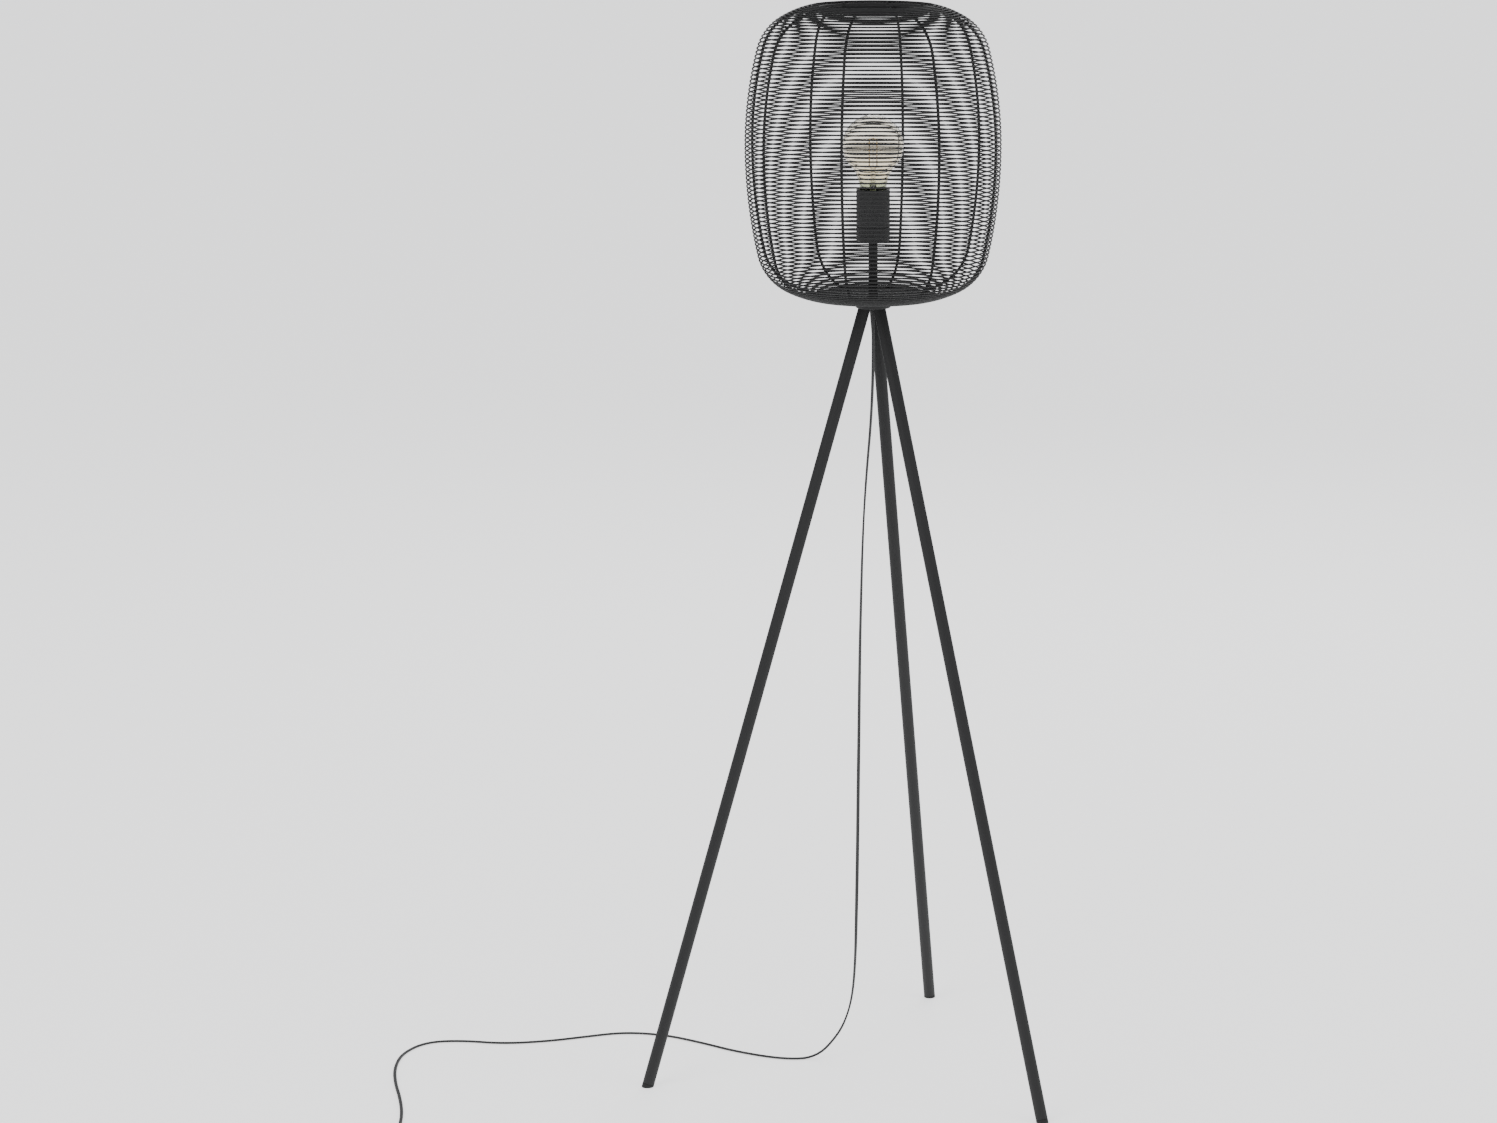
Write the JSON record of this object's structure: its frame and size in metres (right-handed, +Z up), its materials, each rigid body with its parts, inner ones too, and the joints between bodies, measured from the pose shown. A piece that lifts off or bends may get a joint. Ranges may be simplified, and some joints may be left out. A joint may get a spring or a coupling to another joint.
{
  "type": "floor lamp",
  "caption": "Tripod floor lamp with straight tube legs, a barrel-shaped open wire cage round a globe bulb, and a floor cord with foot switch and plug.",
  "frame": {"origin": "on the floor, at the middle of the box round legs and cage, without the cord", "axes": "+Z up, -Y towards the viewer of the picture, +X to the right in it"},
  "size_m": [0.886, 0.6778, 1.4427],
  "materials": {
    "painted_steel": "matt charcoal powder coat",
    "plate_paint": "matt charcoal powder coat",
    "zinc": "zinc plated steel",
    "foot_plastic": "matt black plastic",
    "holder_plastic": "matt charcoal plastic",
    "holder_core": "matt white porcelain",
    "brass": "plain brass",
    "bulb_glass": "clear glass with an amber tint",
    "bulb_metal": "plain aluminium",
    "bulb_insulator": "black glass",
    "mount_glass": "clear glass",
    "filament": "yellow coated filament",
    "cord_black": "matt black plastic",
    "switch_black": "matt black plastic",
    "pin_metal": "nickel plated brass"
  },
  "bodies": {
    "lamp": {"base_plate": "plate_paint", "leg_hub": "painted_steel", "lock_washer": "zinc", "threaded_rod": "zinc", "stem_tube": "painted_steel", "leg_inserts": "zinc", "leg_studs": "zinc", "leg_tube_left": "painted_steel", "leg_tube_right": "painted_steel", "leg_tube_back": "painted_steel", "feet": "foot_plastic", "mouth_ring": "painted_steel", "cage_ribs": "painted_steel", "cage_wires_1": "painted_steel", "cage_wires_2": "painted_steel", "cage_wires_3": "painted_steel", "cage_wires_4": "painted_steel", "cage_wires_5": "painted_steel", "cage_wires_6": "painted_steel", "lampholder_cap": "holder_plastic", "lampholder_nut": "zinc", "lampholder_skirt": "holder_plastic", "lampholder_core": "holder_core", "screw_shell": "brass", "centre_contact": "brass", "terminal_screws": "brass", "cord_bush": "foot_plastic", "inner_cord": "cord_black", "cord": "cord_black", "cord_lead": "cord_black", "cord_coil": "cord_black", "switch_base": "switch_black", "switch_cover": "switch_black", "switch_contacts": "switch_black", "switch_screws": "zinc", "plug_body": "cord_black", "plug_pins": "pin_metal"},
    "bulb": {"bulb_glass": "bulb_glass", "bulb_cap": "bulb_metal", "bulb_insulator": "bulb_insulator", "bulb_tip_contact": "bulb_metal", "bulb_mount": "mount_glass", "bulb_filaments": "filament"},
    "switch_button": {"switch_button": "switch_black"}
  },
  "joints": [
    {"name": "bulb_lift", "type": "slide", "parent": "lamp", "child": "bulb", "axis": [0, 0, 1], "range_m": [0, 0.03]},
    {"name": "switch_press", "type": "slide", "parent": "lamp", "child": "switch_button", "axis": [0, 0, -1], "range_m": [0, 0.0025], "stiffness_N_per_m": 600, "springref_m": -0.001}
  ]
}
